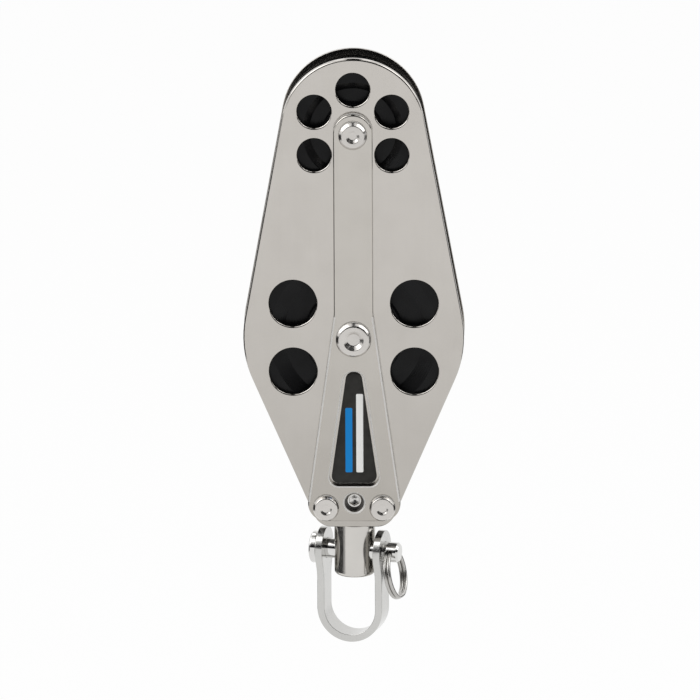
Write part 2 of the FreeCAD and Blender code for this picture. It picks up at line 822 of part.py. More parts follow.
def check_and_export():
    for item in document.Objects:
        if "Invalid" in item.State or "Error" in item.State:
            raise RuntimeError("%s did not build: %s" % (item.Name, item.State))
    os.makedirs("parts", exist_ok=True)
    pieces = {item.Label: item for item in document.Objects if item.Label in PART_NAMES}
    for name in PART_NAMES:
        shape = pieces[name].Shape
        if shape.isNull() or not shape.isValid() or not shape.Solids:
            raise RuntimeError("%s has no valid solid" % name)
    for name in PART_NAMES:
        shape = pieces[name].Shape
        shape.exportStep("parts/%s.step" % name)
        box = shape.BoundBox
        print("%s: %d solid, %.1f mm3, z %.2f to %.2f" % (
            name, len(shape.Solids), shape.Volume, box.ZMin, box.ZMax))


build()
check_and_export()
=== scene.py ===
import bpy
import bmesh
import math
from mathutils import Matrix, Vector


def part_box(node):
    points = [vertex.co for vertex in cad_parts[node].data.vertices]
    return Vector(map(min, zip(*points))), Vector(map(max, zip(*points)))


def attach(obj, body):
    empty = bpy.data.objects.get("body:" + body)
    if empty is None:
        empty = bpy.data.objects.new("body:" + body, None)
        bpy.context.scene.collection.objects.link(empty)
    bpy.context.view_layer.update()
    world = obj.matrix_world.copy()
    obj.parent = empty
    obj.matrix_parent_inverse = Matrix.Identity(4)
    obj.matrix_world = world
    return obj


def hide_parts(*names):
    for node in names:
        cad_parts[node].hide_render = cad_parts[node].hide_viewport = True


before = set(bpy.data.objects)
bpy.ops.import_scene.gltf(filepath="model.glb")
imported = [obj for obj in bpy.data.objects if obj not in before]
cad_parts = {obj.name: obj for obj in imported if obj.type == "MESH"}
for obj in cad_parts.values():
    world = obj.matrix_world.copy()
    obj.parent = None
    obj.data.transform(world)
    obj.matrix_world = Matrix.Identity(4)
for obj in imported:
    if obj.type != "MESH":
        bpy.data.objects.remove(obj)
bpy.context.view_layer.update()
mm = 0.001                      # pieces are drawn in millimetres and scaled down once they are done

drawing = {
    "flatStrip": 0.25,          # a narrow strip beside each rounding keeps the flat faces flat
    "cornerSteps": 6,           # edges that stand for a rounded corner
    "arcStep": 4.0,             # degrees between two sections of a swept rim
    "roundSteps": 96,           # sections of a turned piece
    "sharpAngle": 40.0,         # edges steeper than this stay sharp
}

# points closer than these count as one: on plates, on turned pieces, across a mirror and on a cut
samePlace = {"plate": 0.001, "turned": 0.0005, "mirror": 0.002, "cut": 0.0001}
print("frame loaded:", len(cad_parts), "nodes")


# Tools for drawing pieces

def roundCorner(bm, vert, radius):
    # rounds one corner of a bare chain of edges to a radius
    ways = [(edge.other_vert(vert).co - vert.co).normalized() for edge in vert.link_edges]
    setback = radius / math.tan(ways[0].angle(ways[1]) / 2)
    bmesh.ops.bevel(bm, geom=[vert], offset=setback, segments=drawing["cornerSteps"], profile=0.5,
                    affect="VERTICES", material=-1, clamp_overlap=False)


def edgesOf(verts):
    # the edges that meet these vertices, each once and always in the same order
    return list(dict.fromkeys(edge for vert in verts for edge in vert.link_edges))


def onlyEdges(items):
    return [item for item in items if isinstance(item, bmesh.types.BMEdge)]


def onlyVerts(items):
    return [item for item in items if isinstance(item, bmesh.types.BMVert)]


def drawChain(bm, corners):
    # joins corners (place, radius) with edges and rounds those that have a radius
    old = set(bm.verts)
    verts = [bm.verts.new(place) for place, radius in corners]
    for pair in zip(verts, verts[1:]):
        bm.edges.new(pair)
    for vert, (place, radius) in zip(verts, corners):
        if radius > 0:
            roundCorner(bm, vert, radius)
    fresh = [vert for vert in bm.verts if vert not in old]
    return fresh + edgesOf(fresh)


def spinPart(bm, part, centre, axis, angle, steps, closes=False):
    # spins a part of a mesh about an axis and gives its last section; a full turn closes on itself
    return bmesh.ops.spin(bm, geom=part, cent=centre, axis=axis, dvec=(0, 0, 0), angle=angle, steps=steps,
                          use_merge=closes, use_duplicate=False)["geom_last"]


def discHeadings(discs):
    # start heading and turn at each disc of an outline that runs round discs (x, z, radius), anticlockwise
    # seen from the front; a disc with a negative radius is a hollow bend
    leave = []
    for here, there in zip(discs, discs[1:] + discs[:1]):
        run, rise = there[0] - here[0], there[1] - here[1]
        lean = math.asin((here[2] - there[2]) / math.hypot(run, rise))
        leave.append(math.atan2(rise, run) + lean)
    turns = []
    for number, disc in enumerate(discs):
        turn = (leave[number] - leave[number - 1]) % math.tau
        turns.append((leave[number - 1], turn - math.tau if disc[2] < 0 else turn))
    return turns


def arcPlace(disc, heading, inset):
    x, z, radius = disc
    return x + (radius - inset) * math.sin(heading), z - (radius - inset) * math.cos(heading)


def sweepRim(bm, discs, profile, outward=1):
    # sweeps a profile of (inset, depth, radius) corners round an outline of discs; outward is -1 for a hole
    whole = len(discs) == 1
    turns = [(0.0, math.tau)] if whole else discHeadings(discs)
    corners = []
    for inset, depth, radius in profile:
        x, z = arcPlace(discs[0], turns[0][0], outward * inset)
        corners.append(((x, depth, z), radius))
    section = drawChain(bm, corners)
    for disc, nextDisc, (start, turn) in zip(discs, discs[1:] + discs[:1], turns):
        steps = max(2, math.ceil(abs(math.degrees(turn)) / drawing["arcStep"]))
        around = spinPart(bm, section, (disc[0], 0, disc[1]), (0, -1, 0), turn, steps, whole)
        if whole:
            break
        straight = bmesh.ops.extrude_edge_only(bm, edges=onlyEdges(around))["geom"]
        verts = onlyVerts(straight)
        here, there = arcPlace(disc, start + turn, 0), arcPlace(nextDisc, start + turn, 0)
        bmesh.ops.translate(bm, verts=verts, vec=(there[0] - here[0], 0, there[1] - here[1]))
        ends = set(verts)
        section = verts + [edge for edge in onlyEdges(straight) if ends.issuperset(edge.verts)]


def nearRim(face, discs, reach):
    # whether a face lies beside the rim of a hole and not beside another rim of the plate
    spot = face.calc_center_median()
    middleX = sum(disc[0] for disc in discs) / len(discs)
    middleZ = sum(disc[1] for disc in discs) / len(discs)
    span = max(math.hypot(disc[0] - middleX, disc[1] - middleZ) + disc[2] for disc in discs)
    return math.hypot(spot.x - middleX, spot.z - middleZ) < span + reach


def fillFlat(bm, depth, axis=1):
    # closes the flat face at one depth, with its holes left open
    rims = [edge for edge in bm.edges if len(edge.link_faces) < 2
            and all(abs(vert.co[axis] - depth) < samePlace["plate"] for vert in edge.verts)]
    bmesh.ops.triangle_fill(bm, edges=rims)


cutMarks = {
    "wallTilt": 0.1,            # a wall that leans less than this is an outer wall
    "pastBevel": 0.2,           # how far beyond a bevel its faces are looked for
}


def makePlate(outline, edge, holes, seat, face, seatEdge=0.15, cutWalls=False):
    # a flat plate in the XZ plane; holes are (discs, rounding of the edge, width and depth of its bevel), and
    # the bevels and, where asked, the outer walls get the plate's second material
    bm = bmesh.new()
    strip = drawing["flatStrip"]

    def rimProfile(rounding, bevel=0.0, back=face):
        profile = [(seatEdge + strip, seat, 0), (0, seat, seatEdge), (0, back, rounding)]
        if bevel:
            profile.append((bevel, face, rounding))
        return profile + [(bevel + rounding + strip, face, 0)]

    sweepRim(bm, outline, rimProfile(edge))
    bm.normal_update()
    if cutWalls:
        for wall in bm.faces:
            wall.material_index = 1 if abs(wall.normal.y) < cutMarks["wallTilt"] else 0
    for discs, rounding, bevel, depth in holes:
        back = face - math.copysign(depth, face - seat)
        sweepRim(bm, discs, rimProfile(rounding, bevel, back), outward=-1)
        if bevel:
            for cut in bm.faces:
                inBevel = face < cut.calc_center_median().y < back
                if inBevel and nearRim(cut, discs, bevel + cutMarks["pastBevel"]):
                    cut.material_index = 1
    bmesh.ops.remove_doubles(bm, verts=bm.verts, dist=samePlace["plate"])
    fillFlat(bm, seat)
    fillFlat(bm, face)
    return bm


def makeTurned(profile, steps=drawing["roundSteps"]):
    # spins a profile of (radius, along, rounding) corners about Z
    bm = bmesh.new()
    chain = drawChain(bm, [((radius, 0, along), rounding) for radius, along, rounding in profile])
    spinPart(bm, chain, (0, 0, 0), (0, 0, 1), math.tau, steps, closes=True)
    bmesh.ops.remove_doubles(bm, verts=bm.verts, dist=samePlace["turned"])
    return bm


def turnMesh(bm, degrees, axis):
    # turns the whole mesh about the origin
    turn = Matrix.Rotation(math.radians(degrees), 3, axis)
    bmesh.ops.rotate(bm, verts=bm.verts, cent=(0, 0, 0), matrix=turn)


def shiftMesh(bm, x=0.0, y=0.0, z=0.0):
    bmesh.ops.translate(bm, verts=bm.verts, vec=(x, y, z))


def meshObject(name, bm, sharpAngle=drawing["sharpAngle"]):
    bmesh.ops.recalc_face_normals(bm, faces=bm.faces)
    bmesh.ops.scale(bm, verts=bm.verts, vec=(mm, mm, mm))
    mesh = bpy.data.meshes.new(name)
    bm.to_mesh(mesh)
    bm.free()
    mesh.polygons.foreach_set("use_smooth", [True] * len(mesh.polygons))
    mesh.set_sharp_from_angle(angle=math.radians(sharpAngle))
    piece = bpy.data.objects.new(name, mesh)
    bpy.context.scene.collection.objects.link(piece)
    # keeps the flat faces flat beside the roundings
    smooth = piece.modifiers.new("evenNormals", "WEIGHTED_NORMAL")
    smooth.keep_sharp = True
    return piece


def seatPiece(piece, finishes, body, slotName, *nodes):
    # gives a piece its finishes and its body, and hides the nodes of the frame that it stands for; the slot
    # name is not used
    for finish in finishes:
        piece.data.materials.append(finish)
    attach(piece, body)
    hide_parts(*nodes)


# Tools for materials

def newGroup(name, inputs, outputs):
    # inputs are (name, kind, default) and outputs are (name, kind); the kinds are socket types
    group = bpy.data.node_groups.new(name, "ShaderNodeTree")
    for socketName, kind, default in inputs:
        socket = group.interface.new_socket(name=socketName, in_out="INPUT", socket_type=kind)
        if default is not None:
            socket.default_value = default
    for socketName, kind in outputs:
        group.interface.new_socket(name=socketName, in_out="OUTPUT", socket_type=kind)
    entry = group.nodes.new("NodeGroupInput")
    leave = group.nodes.new("NodeGroupOutput")
    return group, entry.outputs, leave.inputs


def fillInput(tree, socket, value):
    # links a socket to another one, or gives it a plain value
    if isinstance(value, bpy.types.NodeSocket):
        tree.links.new(value, socket)
    elif value is not None:
        socket.default_value = value


def fillInputs(tree, node, values):
    # fills a node's inputs by the names of their sockets
    for name, value in values.items():
        fillInput(tree, node.inputs[name], value)
    return node


def addNode(tree, kind, values):
    return fillInputs(tree, tree.nodes.new("ShaderNode" + kind), values)


def groupNode(tree, group, values):
    node = tree.nodes.new("ShaderNodeGroup")
    node.node_tree = group
    return fillInputs(tree, node, values)


def objectPlace(tree):
    return tree.nodes.new("ShaderNodeTexCoord").outputs["Object"]


def mathNode(tree, operation, *values, clamp=False):
    node = tree.nodes.new("ShaderNodeMath")
    node.operation = operation
    node.use_clamp = clamp
    for socket, value in zip(node.inputs, values):
        fillInput(tree, socket, value)
    return node.outputs[0]


def vectorNode(tree, operation, *values):
    node = tree.nodes.new("ShaderNodeVectorMath")
    node.operation = operation
    for socket, value in zip(node.inputs, values):
        fillInput(tree, socket, value)
    return node.outputs["Value" if operation == "LENGTH" else "Vector"]


def noiseNode(tree, vector, scale, detail, roughness=0.5):
    values = {"Vector": vector, "Scale": scale, "Detail": detail, "Roughness": roughness}
    return addNode(tree, "TexNoise", values).outputs["Fac"]


def spreadNode(tree, value, lowest, highest):
    # stretches what lies between two values to the range from 0 to 1
    spread = addNode(tree, "MapRange", {"Value": value, "From Min": lowest, "From Max": highest})
    return spread.outputs["Result"]


def mixColours(tree, factor, below, above, blend="MIX"):
    # lays one colour over another by a mask; each is a plain colour or a socket
    mix = tree.nodes.new("ShaderNodeMix")
    mix.data_type = "RGBA"
    mix.blend_type = blend
    tree.links.new(factor, mix.inputs["Factor"])
    for name, colour in (("A", below), ("B", above)):
        linked = isinstance(colour, bpy.types.NodeSocket)
        fillInput(tree, mix.inputs[name], colour if linked else (*colour, 1))
    return next(output for output in mix.outputs if output.type == "RGBA")


def newMaterial(name, values):
    # a material whose plain values are set on its shader's own sockets
    material = bpy.data.materials.new(name)
    material.use_nodes = True
    tree = material.node_tree
    return material, tree, fillInputs(tree, tree.nodes["Principled BSDF"], values)


def linkFinish(tree, shader, colour, rough, height, strength, depth):
    # feeds the shader with a colour, a roughness and a bump
    bump = addNode(tree, "Bump", {"Height": height, "Strength": strength, "Distance": depth})
    fillInputs(tree, shader, {"Base Color": colour, "Roughness": rough, "Normal": bump.outputs["Normal"]})


grainLooks = {
    # detail and roughness of the noise, and where the smudges start and end
    "streaks": (3.0, 0.6),
    "smudges": (4.0, 0.55),
    "smudgeSpread": (0.35, 0.68),
}


def makeGrainGroup():
    # fine streaks of rolled or brushed metal, stretched along whichever axis has the small number
    group, entry, leave = newGroup(
        "metalGrain",
        [("Vector", "NodeSocketVector", None),
         ("Stretch", "NodeSocketVector", (900, 900, 45)),
         ("Smudge size", "NodeSocketFloat", 70.0)],
        [("Grain", "NodeSocketFloat"), ("Smudge", "NodeSocketFloat")])
    streaks = vectorNode(group, "MULTIPLY", entry["Vector"], entry["Stretch"])
    group.links.new(noiseNode(group, streaks, 1.0, *grainLooks["streaks"]), leave["Grain"])
    broad = noiseNode(group, entry["Vector"], entry["Smudge size"], *grainLooks["smudges"])
    group.links.new(spreadNode(group, broad, *grainLooks["smudgeSpread"]), leave["Smudge"])
    return group


scratchLooks = {
    # turns about x, y and z in radians and scale along them, for each of the two ways that scratches run
    "ways": (((0.2, 0.5, 0.15), (60, 60, 1400)), ((-0.36, -0.9, -0.27), (1500, 60, 80))),
    "noise": (2.0, 0.4),
    "thinness": 60.0,
    "patches": (110.0, 2.0),
    "patchSpread": (0.56, 0.72),
}


def makeScratchGroup():
    # sparse hairline scratches that run two ways
    group, entry, leave = newGroup(
        "hairScratches",
        [("Vector", "NodeSocketVector", None), ("Amount", "NodeSocketFloat", 0.5)],
        [("Mask", "NodeSocketFloat")])
    lines = []
    for turns, scale in scratchLooks["ways"]:
        turned = addNode(group, "Mapping", {"Vector": entry["Vector"], "Rotation": turns, "Scale": scale})
        noise = noiseNode(group, turned.outputs[0], 1.0, *scratchLooks["noise"])
        away = mathNode(group, "ABSOLUTE", mathNode(group, "SUBTRACT", noise, 0.5))
        away = mathNode(group, "MULTIPLY", away, scratchLooks["thinness"])
        lines.append(mathNode(group, "SUBTRACT", 1.0, away, clamp=True))
    patches = noiseNode(group, entry["Vector"], *scratchLooks["patches"])
    where = spreadNode(group, patches, *scratchLooks["patchSpread"])
    scratched = mathNode(group, "MULTIPLY", mathNode(group, "MAXIMUM", *lines), where)
    group.links.new(mathNode(group, "MULTIPLY", scratched, entry["Amount"]), leave["Mask"])
    return group


def makeFadeGroup():
    # grows from 0 at one height to 1 at another, slowly at first
    group, entry, leave = newGroup(
        "heightFade",
        [("Vector", "NodeSocketVector", None),
         ("From", "NodeSocketFloat", 0.06),
         ("To", "NodeSocketFloat", -0.075),
         ("Power", "NodeSocketFloat", 1.6)],
        [("Mask", "NodeSocketFloat")])
    height = addNode(group, "SeparateXYZ", {"Vector": entry["Vector"]}).outputs["Z"]
    share = spreadNode(group, height, entry["From"], entry["To"])
    group.links.new(mathNode(group, "POWER", share, entry["Power"]), leave["Mask"])
    return group


def makeRingGroup():
    # lathe rings round the Y axis of a centred vector
    group, entry, leave = newGroup(
        "latheRings",
        [("Vector", "NodeSocketVector", None), ("Pitch", "NodeSocketFloat", 0.0007)],
        [("Rings", "NodeSocketFloat")])
    radius = vectorNode(group, "LENGTH", vectorNode(group, "MULTIPLY", entry["Vector"], (1, 0, 1)))
    turns = mathNode(group, "MULTIPLY", mathNode(group, "DIVIDE", radius, entry["Pitch"]), math.tau)
    rings = mathNode(group, "MULTIPLY_ADD", mathNode(group, "SINE", turns), 0.5, 0.5)
    group.links.new(rings, leave["Rings"])
    return group


metalGrain = makeGrainGroup()
hairScratches = makeScratchGroup()
latheRings = makeRingGroup()
heightFade = makeFadeGroup()


steelLooks = {
    # light and dark tone, roughness and its spread, streak scale along x, y and z, bump, scratches
    "cheekSteel": ((0.575, 0.548, 0.515), (0.540, 0.514, 0.480), 0.11, 0.05, (500, 500, 22), 0.04, 0.5),
    "strapSteel": ((0.560, 0.535, 0.498), (0.525, 0.500, 0.462), 0.12, 0.06, (650, 500, 20), 0.04, 0.5),
    "rivetSteel": ((0.640, 0.618, 0.590), (0.575, 0.553, 0.528), 0.18, 0.08, (400, 400, 400), 0.06, 0.6),
    "cutSteel": ((0.720, 0.705, 0.680), (0.640, 0.628, 0.605), 0.46, 0.08, (400, 400, 400), 0.10, 0.2),
    # painted shade: the head block's steel is coloured nearly black, for the shade under the head that the
    # ears and the pin mirror
    "shadeDarkBlockSteel": ((0.170, 0.165, 0.160), (0.120, 0.117, 0.113), 0.38, 0.10, (40, 500, 500), 0.08, 0.4),
    "postSteel": ((0.640, 0.620, 0.590), (0.590, 0.570, 0.540), 0.14, 0.07, (40, 40, 900), 0.07, 0.5),
    "shackleSteel": ((0.600, 0.597, 0.580), (0.560, 0.555, 0.540), 0.13, 0.07, (300, 300, 60), 0.06, 1.0),
    "brightSteel": ((0.720, 0.715, 0.700), (0.640, 0.635, 0.620), 0.06, 0.05, (300, 300, 300), 0.04, 0.5),
    "ringSteel": ((0.560, 0.550, 0.530), (0.470, 0.460, 0.440), 0.26, 0.08, (300, 300, 300), 0.05, 0.4),
    "screwSteel": ((0.700, 0.690, 0.670), (0.560, 0.550, 0.530), 0.20, 0.12, (500, 500, 500), 0.08, 0.3),
    "sleeveSteel": ((0.550, 0.550, 0.540), (0.480, 0.480, 0.470), 0.22, 0.08, (700, 40, 700), 0.05, 0.3),
    "bushBronze": ((0.550, 0.360, 0.180), (0.440, 0.270, 0.120), 0.28, 0.12, (700, 60, 700), 0.06, 0.4),
}

# a sawn, matt edge shows less of its metal than the rest, which is all metal
metalness = {"cutSteel": 0.3}

# painted shade: the plates are coloured a little darker towards the foot
paintedFootShade = {"cheekSteel": (0.83, 0.83, 0.82), "strapSteel": (0.80, 0.795, 0.785)}

steelMix = {
    "streaks": 0.5,             # share of the tone that comes from streaks and from smudges
    "smudges": 0.5,
    "scratchRough": 0.25,       # how much rougher a scratch is
    "bumpDepth": 0.00005,
}


def makeSteel(name):
    light, dark, roughness, spread, stretch, bumpiness, scratched = steelLooks[name]
    material, tree, shader = newMaterial(name, {"Metallic": metalness.get(name, 1.0)})
    place = objectPlace(tree)
    grain = groupNode(tree, metalGrain, {"Vector": place, "Stretch": stretch}).outputs
    scratches = groupNode(tree, hairScratches, {"Vector": place, "Amount": scratched}).outputs["Mask"]
    smudges = mathNode(tree, "MULTIPLY", grain["Smudge"], steelMix["smudges"])
    tone = mathNode(tree, "MULTIPLY_ADD", grain["Grain"], steelMix["streaks"], smudges, clamp=True)
    colour = mixColours(tree, tone, light, dark)
    if name in paintedFootShade:
        # painted shade: the colour is multiplied darker from the waist down to the foot
        fade = groupNode(tree, heightFade, {"Vector": place}).outputs["Mask"]
        colour = mixColours(tree, fade, colour, paintedFootShade[name], "MULTIPLY")
    rough = mathNode(tree, "MULTIPLY_ADD", grain["Smudge"], spread, roughness)
    rough = mathNode(tree, "MULTIPLY_ADD", scratches, steelMix["scratchRough"], rough)
    height = mathNode(tree, "SUBTRACT", grain["Grain"], scratches)
    linkFinish(tree, shader, colour, rough, height, bumpiness, steelMix["bumpDepth"])
    return material


steels = {name: makeSteel(name) for name in steelLooks}


plasticLooks = {
    # light and dark tone, roughness, mirror level and lathe pitch
    "sheaves": ((0.0050, 0.0050, 0.0055), (0.0028, 0.0028, 0.0032), 0.22, 0.18, 0.0009),
    "washers": ((0.05, 0.05, 0.05), (0.03, 0.03, 0.03), 0.40, 0.40, 0.0006),
}

plasticMix = {
    "ior": 1.48,
    "rings": 0.3,               # share of the tone that comes from the lathe rings and from dust
    "dust": 0.7,
    "dustRough": 0.16,          # how much rougher the dust is
    "dustSize": 120.0,
    "grainScale": (600, 600, 600),
    "grainHeight": 0.4,         # against the height of the rings
    "bump": 0.25,
    "bumpDepth": 0.00003,
}


def makePlastic(name, kind, lift=0.0):
    # turned black plastic: lathe rings centred on the axle, and a little dust in the tone
    light, dark, roughness, mirror, pitch = plasticLooks[kind]
    p = plasticMix
    material, tree, shader = newMaterial(name, {"IOR": p["ior"], "Specular IOR Level": mirror})
    place = objectPlace(tree)
    centred = addNode(tree, "Mapping", {"Vector": place, "Location": (0, 0, -lift * mm)}).outputs[0]
    rings = groupNode(tree, latheRings, {"Vector": centred, "Pitch": pitch}).outputs["Rings"]
    grain = groupNode(tree, metalGrain, {"Vector": centred, "Stretch": p["grainScale"],
                                         "Smudge size": p["dustSize"]}).outputs
    dust = mathNode(tree, "MULTIPLY", grain["Smudge"], p["dust"])
    tone = mathNode(tree, "MULTIPLY_ADD", rings, p["rings"], dust, clamp=True)
    rough = mathNode(tree, "MULTIPLY_ADD", grain["Smudge"], p["dustRough"], roughness)
    height = mathNode(tree, "MULTIPLY_ADD", grain["Grain"], p["grainHeight"], rings)
    linkFinish(tree, shader, mixColours(tree, tone, light, dark), rough, height, p["bump"], p["bumpDepth"])
    return material


labelPrint = {
    # the ground, and two plain stripes: colour, middle and half size in millimetres across and up
    "ground": ((0.036, 0.035, 0.032), (0.026, 0.025, 0.023)),
    "stripes": (
        ((0.88, 0.88, 0.86), (2.2, -38.1), (1.35, 15.7)),           # white
        ((0.008, 0.235, 0.640), (-2.0, -40.9), (1.35, 12.9)),       # blue
    ),
    "stripeCorner": 0.5,
    "blur": 0.06,
    "ior": 1.48,
    "mirror": 0.15,
    "roughness": 0.38,
    "smudgeRough": 0.15,        # how much rougher a smudge is
    "smudgeSize": 260.0,
    "grainScale": (1400, 1400, 1400),
    "grainHeight": 0.5,         # against the height of the print
    "bump": 0.3,
    "bumpDepth": 0.00003,
}


def makeStripeGroup():
    # a rounded upright stripe on a flat label, seen from the front
    group, entry, leave = newGroup(
        "printedStripe",
        [("Vector", "NodeSocketVector", None),
         ("Middle", "NodeSocketVector", None),
         ("Half size", "NodeSocketVector", None),
         ("Corner", "NodeSocketFloat", 0.0005),
         ("Blur", "NodeSocketFloat", 0.0001)],
        [("Mask", "NodeSocketFloat")])
    away = vectorNode(group, "SUBTRACT", entry["Vector"], entry["Middle"])
    away = vectorNode(group, "ABSOLUTE", vectorNode(group, "MULTIPLY", away, (1, 0, 1)))
    past = vectorNode(group, "MAXIMUM", vectorNode(group, "SUBTRACT", away, entry["Half size"]), (0, 0, 0))
    inside = mathNode(group, "SUBTRACT", entry["Corner"], vectorNode(group, "LENGTH", past))
    over = mathNode(group, "DIVIDE", inside, entry["Blur"])
    group.links.new(mathNode(group, "ADD", over, 0.5, clamp=True), leave["Mask"])
    return group


def makeLabel():
    # a dark satin plate with two printed stripes
    p = labelPrint
    material, tree, shader = newMaterial("labelPrint", {"IOR": p["ior"], "Specular IOR Level": p["mirror"]})
    place = objectPlace(tree)
    grain = groupNode(tree, metalGrain, {"Vector": place, "Stretch": p["grainScale"],
                                         "Smudge size": p["smudgeSize"]}).outputs
    colour = mixColours(tree, grain["Smudge"], *p["ground"])
    stripeGroup = makeStripeGroup()
    corner = p["stripeCorner"]
    masks = []
    for ink, middle, half in p["stripes"]:
        stripe = groupNode(tree, stripeGroup, {
            "Vector": place,
            "Middle": (middle[0] * mm, 0, middle[1] * mm),
            "Half size": ((half[0] - corner) * mm, 0, (half[1] - corner) * mm),
            "Corner": corner * mm,
            "Blur": p["blur"] * mm,
        })
        masks.append(stripe.outputs["Mask"])
        colour = mixColours(tree, masks[-1], colour, ink)
    rough = mathNode(tree, "MULTIPLY_ADD", grain["Smudge"], p["smudgeRough"], p["roughness"])
    printed = mathNode(tree, "ADD", *masks, clamp=True)
    height = mathNode(tree, "MULTIPLY_ADD", grain["Grain"], p["grainHeight"], printed)
    linkFinish(tree, shader, colour, rough, height, p["bump"], p["bumpDepth"])
    return material


print("materials made")


# Shared places, read from the frame
cheekLow, cheekHigh = [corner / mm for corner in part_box("cheek_front")]
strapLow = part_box("strap_front")[0] / mm


def middleOf(node):
    low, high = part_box(node)
    return (low + high) / 2 / mm


axleRise = middleOf("small_axle").z
cheekInside, cheekFace = -cheekHigh.y, -cheekLow.y
strapFace = -strapLow.y

rivetSizes = {
    # radii of shank, head, face, dimple and its floor, then rim height, head height, dimple depth, and the
    # rounding of the face's edge
    "large_axle": (4.0, 6.95, 5.7, 4.0, 2.3, 1.3, 2.6, 1.3, 1.1),
    "small_axle": (3.2, 5.6, 4.3, 2.7, 1.5, 1.3, 2.6, 0.85, 0.5),
    "head_rivet_left": (3.0, 5.1, 4.3, 2.35, 1.5, 1.2, 2.6, 0.6, 0.7),
    "head_rivet_right": (3.0, 5.1, 4.3, 2.35, 1.5, 1.2, 2.6, 0.6, 0.7),
}

rivetFit = {
    "floor": 0.6,               # roundings of the dimple's floor, the dimple's mouth and the head's rim
    "dimple": 0.4,
    "head": 1.1,
    "wallTilt": 0.25,           # the head's wall: how little it leans and how near the rim it lies
    "wallWidth": 0.3,
    "holeRoom": 0.05,           # how much wider than the shank a hole is, and its edge
    "holeEdge": 0.1,
}


def rivetHoles():
    holes = []
    for name, sizes in rivetSizes.items():
        place, shank = middleOf(name), sizes[0]
        holes.append(([(place.x, place.z, shank + rivetFit["holeRoom"])], rivetFit["holeEdge"], 0, 0))
    return holes


cheekSizes = {
    "waist": cheekHigh.x,
    "crownRise": 2.0,
    "crownRound": 27.7,
    "footDrop": 68.7,
    "footSpread": 8.75,
    "footRound": 7.4,
    "edge": 0.9,
    "holeEdge": 0.75,
    "largeHole": 9.2,
    "largeRing": 27.1,
    "smallHole": 6.55,
    "smallRing": 17.3,
    "largeHoleAngles": (-30, 30, 150, 210),
    "smallHoleAngles": (-30, 30, 90, 150, 210),
    "screwDrop": 65.6,
    "screwAccess": 3.75,
    "screwEdge": 0.1,
}


def ringOfHoles(radius, holeRadius, angles, rise, edge):
    holes = []
    for angle in map(math.radians, angles):
        disc = (radius * math.cos(angle), rise + radius * math.sin(angle), holeRadius)
        holes.append(([disc], edge, 0, 0))
    return holes


def makeCheek(name, facingBack):
    s = cheekSizes
    outline = [
        (0, axleRise + s["crownRise"], s["crownRound"]),
        (0, 0, s["waist"]),
        (-s["footSpread"], -s["footDrop"], s["footRound"]),
        (s["footSpread"], -s["footDrop"], s["footRound"]),
        (0, 0, s["waist"]),
    ]
    holes = ringOfHoles(s["largeRing"], s["largeHole"], s["largeHoleAngles"], 0, s["holeEdge"])
    holes += ringOfHoles(s["smallRing"], s["smallHole"], s["smallHoleAngles"], axleRise, s["holeEdge"])
    holes += rivetHoles()
    if not facingBack:
        holes.append(([(0, -s["screwDrop"], s["screwAccess"])], s["screwEdge"], 0, 0))
    bm = makePlate(outline, s["edge"], holes, -cheekInside, -cheekFace)
    if facingBack:
        turnMesh(bm, 180, "Z")
    seatPiece(meshObject(name, bm), [steels["cheekSteel"]], "block", "cheek_steel", name)


strapSizes = {
    "half": 7.6,
    "rise": 0.6,
    "kink": 10.5,
    "kinkRound": 12.0,
    "footSpread": 10.9,
    "footDrop": 66.0,
    "footRound": 7.0,
    "edge": 0.75,
    "seatEdge": 0.25,
    "windowTop": (0.3, -16.9, 3.8),         # spread, height and rounding
    "windowFoot": (6.0, -55.4, 3.6),
    "windowBevel": (0.08, 0.45, 0.45),      # rounding, width and depth
    "screwBevel": (0.08, 0.6, 0.6),
}


def windowDiscs(margin=0.0):
    topSpread, top, topRound = strapSizes["windowTop"]
    footSpread, foot, footRound = strapSizes["windowFoot"]
    return [(-topSpread, top, topRound - margin), (-footSpread, foot, footRound - margin),
            (footSpread, foot, footRound - margin), (topSpread, top, topRound - margin)]


def makeStrap(name, facingBack):
    s = strapSizes
    bend = s["kinkRound"]
    outline = [
        (0, axleRise + s["rise"], s["half"]),
        (-s["half"] - bend, s["kink"], -bend),
        (-s["footSpread"], -s["footDrop"], s["footRound"]),
        (s["footSpread"], -s["footDrop"], s["footRound"]),
        (s["half"] + bend, s["kink"], -bend),
    ]
    holes = [(windowDiscs(), *s["windowBevel"])] + rivetHoles()
    if not facingBack:
        screwHole = [(0, -cheekSizes["screwDrop"], cheekSizes["screwAccess"])]
        holes.append((screwHole, *s["screwBevel"]))
    bm = makePlate(outline, s["edge"], holes, -cheekFace, -strapFace, s["seatEdge"], cutWalls=True)
    if facingBack:
        turnMesh(bm, 180, "Z")
    finishes = [steels["strapSteel"], steels["cutSteel"]]
    seatPiece(meshObject(name, bm), finishes, "block", "strap_steel", name)


for side, facingBack in (("front", False), ("back", True)):
    makeCheek("cheek_" + side, facingBack)
    makeStrap("strap_" + side, facingBack)
print("cheeks and straps made")


labelSizes = {
    "margin": 0.9,
    "thick": 1.0,
    "edge": 0.25,
}


def makeLabelPlate():
    # fills the front window but for a narrow gap
    s = labelSizes
    bm = makePlate(windowDiscs(s["margin"]), s["edge"], [], -cheekFace, -cheekFace - s["thick"])
    seatPiece(meshObject("label_front", bm), [makeLabel()], "block", "label_dark", "label_front")


makeLabelPlate()


